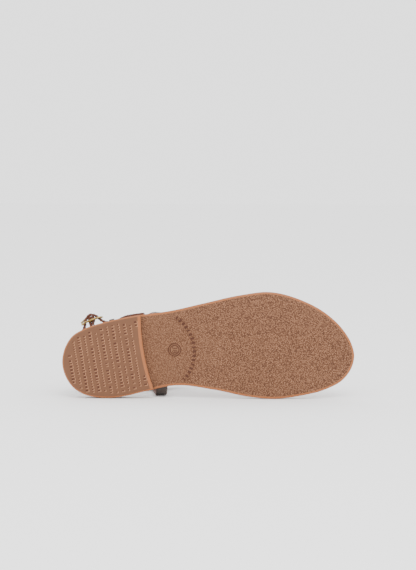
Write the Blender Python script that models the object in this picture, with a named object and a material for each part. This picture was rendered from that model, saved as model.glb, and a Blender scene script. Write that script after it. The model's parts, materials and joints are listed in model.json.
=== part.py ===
"""Ankle strap sandal, right shoe, lying on its medial side.

Each piece is modelled in the shoe's own frame: +X runs from the back of the heel to the toe,
+Y to the medial side and +Z up from the ground that the heel and the ball would stand on.
The last step lays the finished shoe down on the floor.
"""

import math

import bmesh
import bpy
from mathutils import Matrix, Vector
from mathutils.geometry import intersect_ray_tri

# Last and sole, in metres
SHOE_LENGTH = 0.250
BALL_WIDTH = 0.0911
WAIST_WIDTH = 0.0650
HEEL_WIDTH = 0.0640
OUTSOLE_THICKNESS = 0.0042
HEEL_HEIGHT = 0.0060
TOE_SPRING = 0.0050
HEEL_LENGTH_LATERAL = 0.0670
HEEL_LENGTH_MEDIAL = 0.0785
WAIST_LENGTH = 0.0450
SPRING_LENGTH = 0.0450
EDGE_BEVEL = 0.0026
EDGE_DROP = 0.0008
SEAM_ROUND = 0.0004
INSOLE_THICKNESS = 0.0030
INSOLE_INSET = 0.0013

# Straps
STRAP_WIDTH = 0.0098
STRAP_THICKNESS = 0.0018
STRAP_ROUND = 0.0004
SKIVED_THICKNESS = 0.0010
CLEARANCE = 0.0003
LOOP_PLAY = 0.0012
LAP_LENGTH = 0.0050
POST_WIDTH = 0.0046
POST_THICKNESS = 0.0032
POST_ALONG = 0.2000
POST_SIDE = 0.0085
INSTEP_HEIGHT = 0.0730
POST_KNEE = 0.0060
ANCHOR_LENGTH = 0.0140
MEDIAL_TAB_ALONG = 0.0850
LATERAL_TAB_ALONG = 0.0840
MEDIAL_TAB_BULGE = 0.0062
LATERAL_TAB_BULGE = 0.0005

# Ankle strap as a loop round the heel and the ankle
LOOP_BACK = 0.0090
LOOP_LENGTH = 0.0990
LOOP_WIDTH = 0.0618
LOOP_HEIGHT = 0.0500
LOOP_RISE = 0.0340
FRONT_LEAN = math.radians(32)

# Buckle and keeper
ROD_RADIUS = 0.00085
PRONG_RADIUS = 0.00070
BUCKLE_LENGTH = 0.0185
BUCKLE_PLAY = 0.0008
BUCKLE_CORNER = 0.0035
BUCKLE_BOW = 0.0014
BUCKLE_TURN = math.radians(-21)
KEEPER_WIDTH = 0.0044
KEEPER_THICKNESS = 0.0010
KEEPER_PLAY = 0.0008
KEEPER_CORNER = 0.0012
TAIL_PLAY = 0.0007

# How many times its own distance from a rod the strap keeps where it crosses a rod on a slant,
# and how many times its layers the free strap rises over the fold at the bar
SLANT = 2.0
FOLD_EASE = 1.06

# Smallest share of its width that the strap's round tip keeps, and how many of the last spans
# between named places it can take up
TIP_SHARE = 0.35
TIP_SPANS = 2

# Outline of the outsole: share of the length, share of the named width, medial positive
OUTLINE = (
    (0.000, 0.120, "heel"),
    (0.013, 0.320, "heel"),
    (0.040, 0.465, "heel"),
    (0.080, 0.555, "heel"),
    (0.140, 0.592, "heel"),
    (0.200, 0.580, "heel"),
    (0.282, 0.509, "heel"),
    (0.395, 0.423, "waist"),
    (0.520, 0.342, "ball"),
    (0.640, 0.408, "ball"),
    (0.715, 0.427, "ball"),
    (0.818, 0.396, "ball"),
    (0.900, 0.339, "ball"),
    (0.962, 0.245, "ball"),
    (0.990, 0.140, "ball"),
    (1.000, 0.029, "ball"),
    (0.990, -0.090, "ball"),
    (0.962, -0.217, "ball"),
    (0.900, -0.378, "ball"),
    (0.818, -0.499, "ball"),
    (0.710, -0.575, "ball"),
    (0.612, -0.547, "ball"),
    (0.488, -0.472, "ball"),
    (0.364, -0.554, "waist"),
    (0.241, -0.497, "heel"),
    (0.138, -0.409, "heel"),
    (0.076, -0.328, "heel"),
    (0.034, -0.228, "heel"),
    (0.010, -0.080, "heel"),
)
WIDTHS = {"heel": HEEL_WIDTH, "waist": WAIST_WIDTH, "ball": BALL_WIDTH}

# Ankle loop: place, shares of its length, width and rise, lateral negative
LOOP = (
    ("keeper", 0.320, -0.373, 0.02),
    ("tail middle", 0.448, -0.452, 0.07),
    ("tail end", 0.600, -0.489, 0.185),
    ("lateral tab", 0.687, -0.470, 0.29),
    ("lateral front", 0.798, -0.440, 0.485),
    ("lateral turn", 0.899, -0.348, 0.735),
    ("lateral instep", 0.975, -0.146, 0.94),
    ("front", 1.000, 0.049, 1.00),
    ("medial instep", 0.970, 0.235, 0.926),
    ("medial turn", 0.889, 0.398, 0.72),
    ("medial front", 0.798, 0.462, 0.50),
    ("medial tab", 0.697, 0.481, 0.309),
    ("medial ankle", 0.535, 0.476, 0.13),
    ("medial heel", 0.354, 0.448, 0.03),
    ("medial back", 0.182, 0.364, 0.0),
    ("medial corner", 0.061, 0.227, 0.0),
    ("back", 0.005, 0.032, 0.0),
    ("lateral corner", 0.013, -0.162, 0.0),
)
BUCKLE_PLACE = (0.132, -0.455, 0.0)

# The strap's doubled end at the buckle's bar: along the buckle and out from the foot, both in
# shares of the distance from the bar's middle to the strap's. First its free end up to the bar,
# then on from the bar, inwards and forward to the keeper.
LAP = (
    (-0.24, -2.55),
    (0.05, -1.70),
    (0.70, -0.95),
)
RETURN = (
    (-1.05, -1.30),
    (-1.20, -2.60),
    (-0.80, -3.80),
    (0.60, -4.55),
    (3.40, -4.40),
)
# Where the folded end and the strap that comes back over it pass round the bar, in degrees from
# the way the buckle points
FOLD_TURNS = (10, 50, 90, 135, 180)
ENTRY_TURNS = (140, 90, 40)

# Bar of the T-strap: share of the length, of the post's side and of the instep height
T_BAR = (
    (0.799, 1.00, 0.20),
    (0.787, 0.97, 0.30),
    (0.757, 0.92, 0.42),
    (0.705, 0.83, 0.545),
    (0.640, 0.71, 0.665),
    (0.576, 0.60, 0.775),
    (0.522, 0.50, 0.885),
    (0.478, 0.42, 1.00),
)
# Side tab: share of the way up from the sole's edge, share of the bulge
TAB_SIDE = (
    (0.040, 0.30),
    (0.100, 0.75),
    (0.190, 1.00),
    (0.390, 0.82),
    (0.590, 0.56),
    (0.790, 0.28),
)

# A strap's foot under the insole, from its end to the sole's edge: share of the anchor's length
ANCHOR = (1.0, 0.5, 0.25)
# A strap folded over the ankle strap: share of the fold's distance from the ankle strap's middle,
# share of the ankle strap's half width, share of the fold's height over the ankle strap's edge, and
# share of the lap's length
FOLD = (
    (1.00, -1.0, 0.00, 0.0),
    (1.00, 0.4, 0.00, 0.0),
    (0.78, 1.0, 0.45, 0.0),
    (0.00, 1.0, 1.00, 0.0),
    (-0.78, 1.0, 0.45, 0.0),
    (-1.00, 0.4, 0.00, 0.0),
    (-1.00, -1.0, 0.00, 0.0),
    (-0.20, -1.0, 0.00, -1.0),
)
# Widening of the T-strap above its post: share of the way from the post's width to the strap's
WIDENING = (0.0, 0.0, 0.0, 0.3, 0.6, 0.85)
# The prong from its eye to the frame's back rod: share of the eye's radius or of the buckle's half
# length back from the bar, and share of the eye's radius out from it
PRONG_ROOT = (-0.55, 0.85)
PRONG_BEND = (-0.45, 1.25)

OUTLINE_STEPS = 4
STRAP_STEPS = 3
BEND_STEPS = 7
EYE_STEPS = 12
CORNER_STEPS = 4
ROD_STEPS = 2
SMOOTH_ANGLE = math.radians(38)
WELD = 1e-7
# Least share of its inset that an outline's sharp corner counts with
MITRE = 0.5
# Least medial share in the direction of a face that the shoe can lie on
LYING_SHARE = 0.9
UP = Vector((0, 0, 1))


def clear_scene():
    """Removes what a new file holds."""
    for thing in list(bpy.data.objects):
        bpy.data.objects.remove(thing, do_unlink=True)


def new_collection(name):
    """A collection in the scene."""
    made = bpy.data.collections.new(name)
    bpy.context.scene.collection.children.link(made)
    return made


def new_material(name, colour, roughness, metallic=0.0):
    """A plain Principled material."""
    made = bpy.data.materials.new(name)
    made.use_nodes = True
    shader = made.node_tree.nodes["Principled BSDF"]
    shader.inputs["Base Color"].default_value = (*colour, 1.0)
    shader.inputs["Roughness"].default_value = roughness
    shader.inputs["Metallic"].default_value = metallic
    return made


def add_object(name, mesh, material, collection):
    """Puts a finished bmesh into the scene as one smooth-shaded object."""
    bmesh.ops.recalc_face_normals(mesh, faces=mesh.faces)
    data = bpy.data.meshes.new(name)
    mesh.to_mesh(data)
    mesh.free()
    data.shade_smooth()
    data.set_sharp_from_angle(angle=SMOOTH_ANGLE)
    if material:
        data.materials.append(material)
    made = bpy.data.objects.new(name, data)
    collection.objects.link(made)
    return made


def cut(target, cutter):
    """Takes one object out of another and keeps the cutter as a wire guide."""
    cutter.hide_render = True
    cutter.display_type = "WIRE"
    step = target.modifiers.new(cutter.name, "BOOLEAN")
    step.operation = "DIFFERENCE"
    step.object = cutter


def join(target, addition):
    """Makes one body of two."""
    addition.hide_render = True
    addition.display_type = "WIRE"
    step = target.modifiers.new(addition.name, "BOOLEAN")
    step.operation = "UNION"
    step.object = addition


def smooth_curve(points, steps, closed=False):
    """Samples of a curve that goes through all the points, with so many steps between two."""
    count = len(points)
    spans = count if closed else count - 1
    lengths = [(points[(i + 1) % count] - points[i]).length for i in range(spans)]
    chords = [(points[(i + 1) % count] - points[i]) / lengths[i] for i in range(spans)]

    def slope(i):
        if not closed and i in (0, count - 1):
            return chords[0] if i == 0 else chords[-1]
        before = lengths[i - 1]
        after = lengths[i]
        return (chords[i - 1] * after + chords[i] * before) / (before + after)

    samples = []
    for i in range(spans):
        start = points[i]
        end = points[(i + 1) % count]
        leave = slope(i) * lengths[i]
        arrive = slope((i + 1) % count) * lengths[i]
        for k in range(steps):
            t = k / steps
            samples.append(
                start * (2 * t**3 - 3 * t**2 + 1)
                + leave * (t**3 - 2 * t**2 + t)
                + end * (3 * t**2 - 2 * t**3)
                + arrive * (t**3 - t**2)
            )
    if not closed:
        samples.append(points[-1].copy())
    return samples


def spread(values, steps):
    """Numbers given at a curve's points, read at each of its samples."""
    read = []
    for first, second in zip(values, values[1:]):
        read += [first + (second - first) * k / steps for k in range(steps)]
    return read + [values[-1]]


def inset_ring(ring, insets):
    """A closed flat outline moved inwards by its own amount at each point."""
    moved = []
    for i, point in enumerate(ring):
        before = (point - ring[i - 1]).normalized()
        after = (ring[(i + 1) % len(ring)] - point).normalized()
        inward = Vector((before.y + after.y, -before.x - after.x)).normalized()
        mitre = max(inward.dot(Vector((after.y, -after.x))), MITRE)
        moved.append(point + inward * insets[i] / mitre)
    return moved


def breast_line(side):
    """How far from the back of the heel its curved front lies, at a place across the shoe."""
    share = (side + HEEL_WIDTH / 2) / HEEL_WIDTH
    return HEEL_LENGTH_LATERAL + (HEEL_LENGTH_MEDIAL - HEEL_LENGTH_LATERAL) * share**2


def lift(along):
    """Height of the outsole's underside above the ground, at a place along the shoe."""
    waist_back = HEEL_LENGTH_MEDIAL + EDGE_DROP
    spring_start = SHOE_LENGTH - SPRING_LENGTH
    if along > spring_start:
        return TOE_SPRING * ((along - spring_start) / SPRING_LENGTH) ** 2
    climb = (waist_back + WAIST_LENGTH - along) / WAIST_LENGTH
    climb = min(max(climb, 0.0), 1.0)
    return HEEL_HEIGHT * climb * climb * (3 - 2 * climb)


def sole_top(along):
    """Height of the outsole's upper side."""
    return lift(along) + OUTSOLE_THICKNESS


def bend_stations():
    """Places along the shoe where a flat slab needs a fold line to follow the last."""
    waist_back = HEEL_LENGTH_MEDIAL + EDGE_DROP
    spring_start = SHOE_LENGTH - SPRING_LENGTH
    stations = [waist_back + WAIST_LENGTH * i / BEND_STEPS for i in range(BEND_STEPS + 1)]
    stations += [spring_start + SPRING_LENGTH * i / BEND_STEPS for i in range(BEND_STEPS)]
    return stations


def slab(name, levels, bent, material, collection):
    """A slab lofted through outlines, bottom one first, and bent to the last's bottom."""
    mesh = bmesh.new()
    rings = [[mesh.verts.new((p.x, p.y, z)) for p, z in level] for level in levels]
    for lower, upper in zip(rings, rings[1:]):
        for i in range(len(lower)):
            mesh.faces.new((lower[i - 1], lower[i], upper[i], upper[i - 1]))
    mesh.faces.new(rings[0])
    mesh.faces.new(rings[-1])
    if bent:
        for station in bend_stations():
            whole = mesh.verts[:] + mesh.edges[:] + mesh.faces[:]
            bmesh.ops.bisect_plane(mesh, geom=whole, plane_co=(station, 0, 0), plane_no=(1, 0, 0))
    bmesh.ops.triangulate(mesh, faces=mesh.faces)
    if bent:
        for vertex in mesh.verts:
            vertex.co.z += lift(vertex.co.x)
    return add_object(name, mesh, material, collection)


def strap(name, points, across, widths, thicknesses, material, collection, closed=False):
    """A strap with chamfered edges along a sampled path. Its frames are kept for its neighbours."""
    count = len(points)
    mesh = bmesh.new()
    rings = []
    frames = []
    for i, point in enumerate(points):
        ahead = points[(i + 1) % count] if closed else points[min(i + 1, count - 1)]
        behind = points[i - 1] if closed else points[max(i - 1, 0)]
        along = (ahead - behind).normalized()
        wide = (across[i] - along * along.dot(across[i])).normalized()
        out = along.cross(wide)
        frames.append((point, along, wide, out))
        half_out = thicknesses[i] / 2
        half_wide = widths[i] / 2
        corner = min(STRAP_ROUND, half_out / 2)
        section = [(half_out - corner, half_wide), (half_out, half_wide - corner)]
        section += [(a, -b) for a, b in reversed(section)]
        section += [(-a, b) for a, b in reversed(section)]
        rings.append([mesh.verts.new(point + out * a + wide * b) for a, b in section])
    for i in range(count if closed else count - 1):
        first = rings[i]
        second = rings[(i + 1) % count]
        for k in range(len(first)):
            mesh.faces.new((first[k - 1], first[k], second[k], second[k - 1]))
    if not closed:
        mesh.faces.new(rings[0])
        mesh.faces.new(rings[-1])
    return add_object(name, mesh, material, collection), frames


def tube(name, points, radius, material, collection, closed=False):
    """A round rod along the points, made as a curve and turned into a mesh."""
    data = bpy.data.curves.new(name, "CURVE")
    data.dimensions = "3D"
    data.bevel_depth = radius
    data.bevel_resolution = ROD_STEPS
    data.use_fill_caps = True
    spline = data.splines.new("POLY")
    spline.points.add(len(points) - 1)
    for target, point in zip(spline.points, points):
        target.co = (*point, 1.0)
    spline.use_cyclic_u = closed
    guide = bpy.data.objects.new(name + "_path", data)
    collection.objects.link(guide)
    graph = bpy.context.evaluated_depsgraph_get()
    solid = bmesh.new()
    solid.from_mesh(bpy.data.meshes.new_from_object(guide.evaluated_get(graph)))
    bmesh.ops.remove_doubles(solid, verts=solid.verts, dist=WELD)
    bpy.data.objects.remove(guide, do_unlink=True)
    return add_object(name, solid, material, collection)


def outline_ring():
    """The outsole's outline."""
    points = [Vector((along * SHOE_LENGTH, side * WIDTHS[follows])) for along, side, follows in OUTLINE]
    return smooth_curve(points, OUTLINE_STEPS, closed=True)


def edge_side(ring, along, side):
    """How far across the shoe its edge lies, medial (1) or lateral (-1), at a place along it."""
    for i, point in enumerate(ring):
        before = ring[i - 1]
        if point.y * side > 0 and (before.x - along) * (point.x - along) <= 0 and before.x != point.x:
            share = (along - before.x) / (point.x - before.x)
            return before.y + (point.y - before.y) * share
    return 0.0


def heel_ring(ring):
    """The part of the outline behind the breast line, closed by that line."""
    past = [point.x - breast_line(point.y) for point in ring]
    kept = []
    for i, point in enumerate(ring):
        if past[i - 1] * past[i] < 0:
            share = past[i - 1] / (past[i - 1] - past[i])
            corner = ring[i - 1].lerp(point, share)
            kept.append(corner)
            if past[i] > 0:
                medial = corner
                breast_at = len(kept)
            else:
                lateral = corner
        if past[i] < 0:
            kept.append(point)
    sides = [medial.y + (lateral.y - medial.y) * i / BEND_STEPS for i in range(1, BEND_STEPS)]
    breast = [Vector((breast_line(side), side)) for side in sides]
    return kept[:breast_at] + breast + kept[breast_at:]


def level(ring, inset, height):
    """One outline of a slab at one inset and height."""
    insets = inset if isinstance(inset, list) else [inset] * len(ring)
    heights = height if isinstance(height, list) else [height] * len(ring)
    return list(zip(inset_ring(ring, insets), heights))


def make_outsole(ring, material, collection):
    """The sheet sole: bevelled where it meets the ground, square where it sits on the heel."""
    free = [point.x > breast_line(point.y) for point in ring]
    bevel = [EDGE_BEVEL if open_edge else SEAM_ROUND for open_edge in free]
    drop = [EDGE_DROP if open_edge else SEAM_ROUND for open_edge in free]
    levels = (
        level(ring, bevel, 0.0),
        level(ring, 0.0, drop),
        level(ring, 0.0, OUTSOLE_THICKNESS - SEAM_ROUND),
        level(ring, SEAM_ROUND, OUTSOLE_THICKNESS),
    )
    return slab("outsole", levels, True, material, collection)


def make_heel(ring, material, collection):
    """The low heel block, with its bevel all round and along the curved breast."""
    outline = heel_ring(ring)
    top = HEEL_HEIGHT - CLEARANCE
    levels = (
        level(outline, EDGE_BEVEL, 0.0),
        level(outline, 0.0, EDGE_DROP),
        level(outline, 0.0, top - SEAM_ROUND),
        level(outline, SEAM_ROUND, top),
    )
    return slab("heel", levels, False, material, collection)


def make_insole(ring, material, collection):
    """The footbed, a little smaller than the outsole all round."""
    bottom = OUTSOLE_THICKNESS + CLEARANCE
    top = bottom + INSOLE_THICKNESS
    levels = (
        level(ring, INSOLE_INSET + SEAM_ROUND, bottom),
        level(ring, INSOLE_INSET, bottom + SEAM_ROUND),
        level(ring, INSOLE_INSET, top - 2 * SEAM_ROUND),
        level(ring, INSOLE_INSET + 2 * SEAM_ROUND, top),
    )
    return slab("insole", levels, True, material, collection)


def loop_point(along, side, rise):
    """A place on the ankle loop."""
    return Vector((LOOP_BACK + along * LOOP_LENGTH, side * LOOP_WIDTH, LOOP_HEIGHT + rise * LOOP_RISE))


def loop_across(point):
    """The way the ankle strap's width points: upright at the back, leaning back at the instep."""
    middle = LOOP_BACK + LOOP_LENGTH / 2
    share = min(max((point.x - LOOP_BACK) / LOOP_LENGTH, 0.0), 1.0)
    lean = FRONT_LEAN * share**2
    inward = Vector((middle - point.x, -point.y, 0)).normalized()
    return UP * math.cos(lean) + inward * math.sin(lean)


class Buckle:
    """The buckle's own frame: along the strap, out from the foot, and across the strap."""

    def __init__(self):
        self.centre = loop_point(*BUCKLE_PLACE)
        self.along = Vector((math.cos(BUCKLE_TURN), math.sin(BUCKLE_TURN), 0))
        self.out = self.along.cross(UP)
        self.half = BUCKLE_LENGTH / 2

    def point(self, along, out, across=0.0):
        """A place given in the buckle's frame."""
        return self.centre + self.along * along + self.out * out + UP * across


def ankle_path(buckle):
    """The ankle strap's centre line, and where each named place of its loop lies on it."""
    layer = STRAP_THICKNESS + CLEARANCE
    wrap = ROD_RADIUS + CLEARANCE + STRAP_THICKNESS / 2
    under_rod = -BUCKLE_BOW - SLANT * wrap
    half = buckle.half

    def wrapped(radius, degrees):
        turn = math.radians(degrees)
        return buckle.point(radius * math.cos(turn), radius * math.sin(turn))

    fold = [buckle.point(along * wrap, out * wrap) for along, out in LAP]
    fold += [wrapped(wrap, degrees) for degrees in FOLD_TURNS]
    fold += [buckle.point(along * wrap, out * wrap) for along, out in RETURN]
    loop = [loop_point(*shares) for _, *shares in LOOP]
    entry = [buckle.point(-half, under_rod)]
    entry += [wrapped(wrap + layer * FOLD_EASE, degrees) for degrees in ENTRY_TURNS]
    entry.append(buckle.point(half, under_rod))
    names = [name for name, *_ in LOOP]
    tail = []
    for name in ("keeper", "tail middle", "tail end"):
        i = names.index(name)
        before = loop[i - 1] if i else fold[-1]
        out = (loop[i + 1] - before).cross(UP).normalized()
        tail.append(loop[i] + out * (STRAP_THICKNESS + TAIL_PLAY))
    tip_start = tail[-1].lerp(tail[-2], STRAP_WIDTH / 2 / (tail[-1] - tail[-2]).length)
    points = fold + loop + entry + tail[:-1] + [tip_start, tail[-1]]
    places = {name: (len(fold) + i) * STRAP_STEPS for i, name in enumerate(names)}
    return smooth_curve(points, STRAP_STEPS), places


def make_ankle_strap(buckle, material, collection):
    """One strap from the buckle's bar round the ankle and the heel to its tail outside itself."""
    points, places = ankle_path(buckle)
    widths = []
    for point in reversed(points):
        reach = min((point - points[-1]).length / (STRAP_WIDTH / 2), 1.0)
        if len(widths) > TIP_SPANS * STRAP_STEPS:
            reach = 1.0
        widths.append(STRAP_WIDTH * max(math.sqrt(1 - (1 - reach) ** 2), TIP_SHARE))
    widths.reverse()
    across = [loop_across(point) for point in points]
    thick = [STRAP_THICKNESS] * len(points)
    made, frames = strap("ankle_strap", points, across, widths, thick, material, collection)
    return made, {name: frames[i] for name, i in places.items()}


def fold_over(frame):
    """Points of a strap that comes up outside the ankle strap and folds over it to the inside."""
    centre, along, wide, out = frame
    outward = STRAP_THICKNESS + LOOP_PLAY
    if out.dot(Vector((centre.x - LOOP_BACK - LOOP_LENGTH / 2, centre.y, 0))) < 0:
        out = -out
    edge = STRAP_WIDTH / 2
    over = LOOP_PLAY + STRAP_THICKNESS / 2
    return [
        centre + out * outward * away + wide * (edge * half + over * rise + LAP_LENGTH * lap)
        for away, half, rise, lap in FOLD
    ]


def lean_between(first, second, count):
    """Directions that turn evenly from one to the other."""
    return [first.lerp(second, i / (count - 1)) for i in range(count)]


def tab_shape(ring, along, side, bulge, frame):
    """Control points of a side tab from under the insole up to the ankle strap and over it."""
    low = sole_top(along) + CLEARANCE + SKIVED_THICKNESS / 2
    edge = edge_side(ring, along, side) - side * INSOLE_INSET
    foot = [Vector((along, edge - side * ANCHOR_LENGTH * share, low)) for share in ANCHOR]
    fold = fold_over(frame)
    start = Vector((along, edge, low))
    rise = [
        start.lerp(fold[0], up) + Vector((0, side * bulge * out, 0)) for up, out in TAB_SIDE
    ]
    return foot + rise + fold


def make_tab(name, ring, along, side, bulge, frame, grown, material, collection):
    """A side tab, or the same grown by a clearance as a cutter."""
    control = tab_shape(ring, along, side, bulge, frame)
    if grown:
        control = [control[0] - Vector((0, side * grown, 0))] + control[1:]
    points = smooth_curve(control, STRAP_STEPS)
    flat = len(ANCHOR)
    skived = [SKIVED_THICKNESS] * flat + [STRAP_THICKNESS] * (len(control) - flat)
    half = STRAP_WIDTH / 2
    slope = Vector((STRAP_WIDTH, 0, lift(along + half) - lift(along - half))).normalized()
    turned = frame[1] if frame[1].x > 0 else -frame[1]
    across = [slope] * flat + lean_between(slope, turned, len(TAB_SIDE) + 1)
    across += [turned] * (len(control) - len(across))
    made, _ = strap(
        name,
        points,
        spread(across, STRAP_STEPS),
        [STRAP_WIDTH + 2 * grown] * len(points),
        [value + 2 * grown for value in spread(skived, STRAP_STEPS)],
        material,
        collection,
    )
    return made


def make_t_strap(name, frame, grown, material, collection):
    """The toe post and the bar up the instep, folded over the front of the ankle strap."""
    foot = Vector((POST_ALONG, POST_SIDE, sole_top(POST_ALONG) + CLEARANCE - grown))
    knee = Vector((POST_ALONG, POST_SIDE, sole_top(POST_ALONG) + POST_KNEE))
    bar = [
        Vector((along * SHOE_LENGTH, side * POST_SIDE, rise * INSTEP_HEIGHT))
        for along, side, rise in T_BAR
    ]
    control = [foot, knee] + bar + fold_over(frame)
    points = smooth_curve(control, STRAP_STEPS)
    widths = [POST_WIDTH + (STRAP_WIDTH - POST_WIDTH) * share for share in WIDENING]
    widths += [STRAP_WIDTH] * (len(control) - len(widths))
    post = WIDENING.count(0.0)
    thick = [POST_THICKNESS] * post + [STRAP_THICKNESS] * (len(control) - post)
    made, _ = strap(
        name,
        points,
        [Vector((0, 1, 0))] * len(points),
        [value + 2 * grown for value in spread(widths, STRAP_STEPS)],
        [value + 2 * grown for value in spread(thick, STRAP_STEPS)],
        material,
        collection,
    )
    return made


def make_keeper(frame, material, collection):
    """The small loop round the ankle strap and its tail."""
    centre, along, wide, out = frame
    layer = STRAP_THICKNESS + TAIL_PLAY
    middle = centre + out * layer / 2
    half_out = (STRAP_THICKNESS + layer + KEEPER_THICKNESS) / 2 + KEEPER_PLAY
    half_wide = (STRAP_WIDTH + KEEPER_THICKNESS) / 2 + KEEPER_PLAY
    points = []
    for a, b in rounded_rectangle(half_out, half_wide, KEEPER_CORNER):
        points.append(middle + out * a + wide * b)
    count = len(points)
    made, _ = strap(
        "strap_keeper",
        points,
        [along] * count,
        [KEEPER_WIDTH] * count,
        [KEEPER_THICKNESS] * count,
        material,
        collection,
        closed=True,
    )
    return made


def rounded_rectangle(half_first, half_second, radius):
    """Points round a rectangle with round corners."""
    points = []
    for corner, (first, second) in enumerate(((1, 1), (-1, 1), (-1, -1), (1, -1))):
        for k in range(CORNER_STEPS + 1):
            turn = math.pi / 2 * (corner + k / CORNER_STEPS)
            a = first * (half_first - radius) + radius * math.cos(turn)
            b = second * (half_second - radius) + radius * math.sin(turn)
            points.append((a, b))
    return points


def make_buckle_frame(buckle, material, collection, helpers):
    """The bowed brass frame with its centre bar."""
    half_across = STRAP_WIDTH / 2 + BUCKLE_PLAY + ROD_RADIUS
    points = []
    for a, b in rounded_rectangle(buckle.half, half_across, BUCKLE_CORNER):
        points.append(buckle.point(a, -BUCKLE_BOW * (a / buckle.half) ** 2, b))
    made = tube("buckle_frame", points, ROD_RADIUS, material, collection, closed=True)
    ends = [buckle.point(0, 0, -half_across), buckle.point(0, 0, half_across)]
    join(made, tube("buckle_bar", ends, ROD_RADIUS, material, helpers))
    return made


def prong_pieces(name, buckle, grown, material, collection, helpers):
    """The prong's eye round the bar, and its shaft that rests on the frame's back rod."""
    radius = PRONG_RADIUS + grown
    eye = ROD_RADIUS + CLEARANCE + PRONG_RADIUS
    turns = [2 * math.pi * i / EYE_STEPS for i in range(EYE_STEPS)]
    ring = [buckle.point(eye * math.cos(t), eye * math.sin(t)) for t in turns]
    rest = -BUCKLE_BOW + ROD_RADIUS + CLEARANCE + PRONG_RADIUS
    shaft = [
        buckle.point(PRONG_ROOT[0] * eye, PRONG_ROOT[1] * eye),
        buckle.point(PRONG_BEND[0] * buckle.half, PRONG_BEND[1] * eye),
        buckle.point(-buckle.half, rest),
        buckle.point(-buckle.half - PRONG_RADIUS, rest - CLEARANCE / 2),
    ]
    made = tube(name, ring, radius, material, collection, closed=True)
    return made, tube(name + "_shaft", smooth_curve(shaft, STRAP_STEPS), radius, material, helpers)


def world_mesh(piece, graph):
    """Corners and triangles of a piece as it is seen, in the shoe's frame."""
    evaluated = piece.evaluated_get(graph)
    mesh = evaluated.to_mesh()
    mesh.calc_loop_triangles()
    corners = [vertex.co.copy() for vertex in mesh.vertices]
    triangles = [tuple(triangle.vertices) for triangle in mesh.loop_triangles]
    evaluated.to_mesh_clear()
    return corners, triangles


def resting_matrix(pieces):
    """The turn and shift that lay the shoe on its medial side, on the face it comes to rest on."""
    graph = bpy.context.evaluated_depsgraph_get()
    hull = bmesh.new()
    volume = 0.0
    moment = Vector((0, 0, 0))
    corners = []
    for piece in pieces:
        found, triangles = world_mesh(piece, graph)
        for a, b, c in triangles:
            wedge = found[a].dot(found[b].cross(found[c]))
            volume += wedge
            moment += wedge * (found[a] + found[b] + found[c]) / 4
        corners += found
    centre = moment / volume
    for corner in corners:
        hull.verts.new(corner)
    bmesh.ops.convex_hull(hull, input=hull.verts)
    down = Vector((0, 1, 0))
    for face in hull.faces:
        if face.normal.y < LYING_SHARE:
            continue
        if intersect_ray_tri(*(v.co for v in face.verts), face.normal, centre):
            down = face.normal.copy()
    hull.free()
    forward = Vector((1, 0, 0))
    forward = (forward - down * down.x).normalized()
    turn = Matrix((forward, forward.cross(down), -down))
    turned = [turn @ corner for corner in corners]
    low = Vector([min(corner[i] for corner in turned) for i in range(3)])
    high = Vector([max(corner[i] for corner in turned) for i in range(3)])
    shift = Vector((-(low.x + high.x) / 2, -(low.y + high.y) / 2, -low.z))
    return Matrix.Translation(shift) @ turn.to_4x4()


def main():
    clear_scene()
    sandal = new_collection("ankle_strap_sandal")
    cutters = new_collection("cutters")
    sole = new_material("pebbled_sole", (0.37, 0.20, 0.12), 0.6)
    footbed = new_material("footbed_leather", (0.36, 0.17, 0.09), 0.5)
    dark = new_material("strap_leather", (0.07, 0.045, 0.035), 0.45)
    brass = new_material("brass", (0.66, 0.50, 0.26), 0.3, 1.0)

    ring = outline_ring()
    outsole = make_outsole(ring, sole, sandal)
    heel = make_heel(ring, sole, sandal)
    insole = make_insole(ring, footbed, sandal)

    buckle = Buckle()
    ankle, places = make_ankle_strap(buckle, dark, sandal)
    pieces = [outsole, heel, insole, ankle]
    helpers = []
    tabs = (
        ("medial_tab", MEDIAL_TAB_ALONG, 1, MEDIAL_TAB_BULGE),
        ("lateral_tab", LATERAL_TAB_ALONG, -1, LATERAL_TAB_BULGE),
    )
    for name, along, side, bulge in tabs:
        frame = places[name.replace("_", " ")]
        pieces.append(make_tab(name, ring, along, side, bulge, frame, 0.0, dark, sandal))
        pocket = make_tab(name + "_pocket", ring, along, side, bulge, frame, CLEARANCE, None, cutters)
        cut(insole, pocket)
    pieces.append(make_t_strap("t_strap", places["front"], 0.0, dark, sandal))
    cut(insole, make_t_strap("toe_post_slot", places["front"], CLEARANCE, None, cutters))
    pieces.append(make_keeper(places["keeper"], dark, sandal))
    pieces.append(make_buckle_frame(buckle, brass, sandal, cutters))
    prong, shaft = prong_pieces("buckle_prong", buckle, 0.0, brass, sandal, cutters)
    join(prong, shaft)
    pieces.append(prong)
    for slot in prong_pieces("prong_slot", buckle, CLEARANCE, None, cutters, cutters):
        cut(ankle, slot)

    rest = resting_matrix(pieces)
    pose = bpy.data.objects.new("resting_pose", None)
    sandal.objects.link(pose)
    pose.matrix_world = rest
    for thing in list(sandal.objects) + list(cutters.objects):
        if thing is not pose:
            thing.parent = pose


main()
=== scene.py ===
import json
import random
from math import cos, pi, radians, sin, sqrt

import bmesh
import bpy
from mathutils import Matrix, Vector


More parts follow.
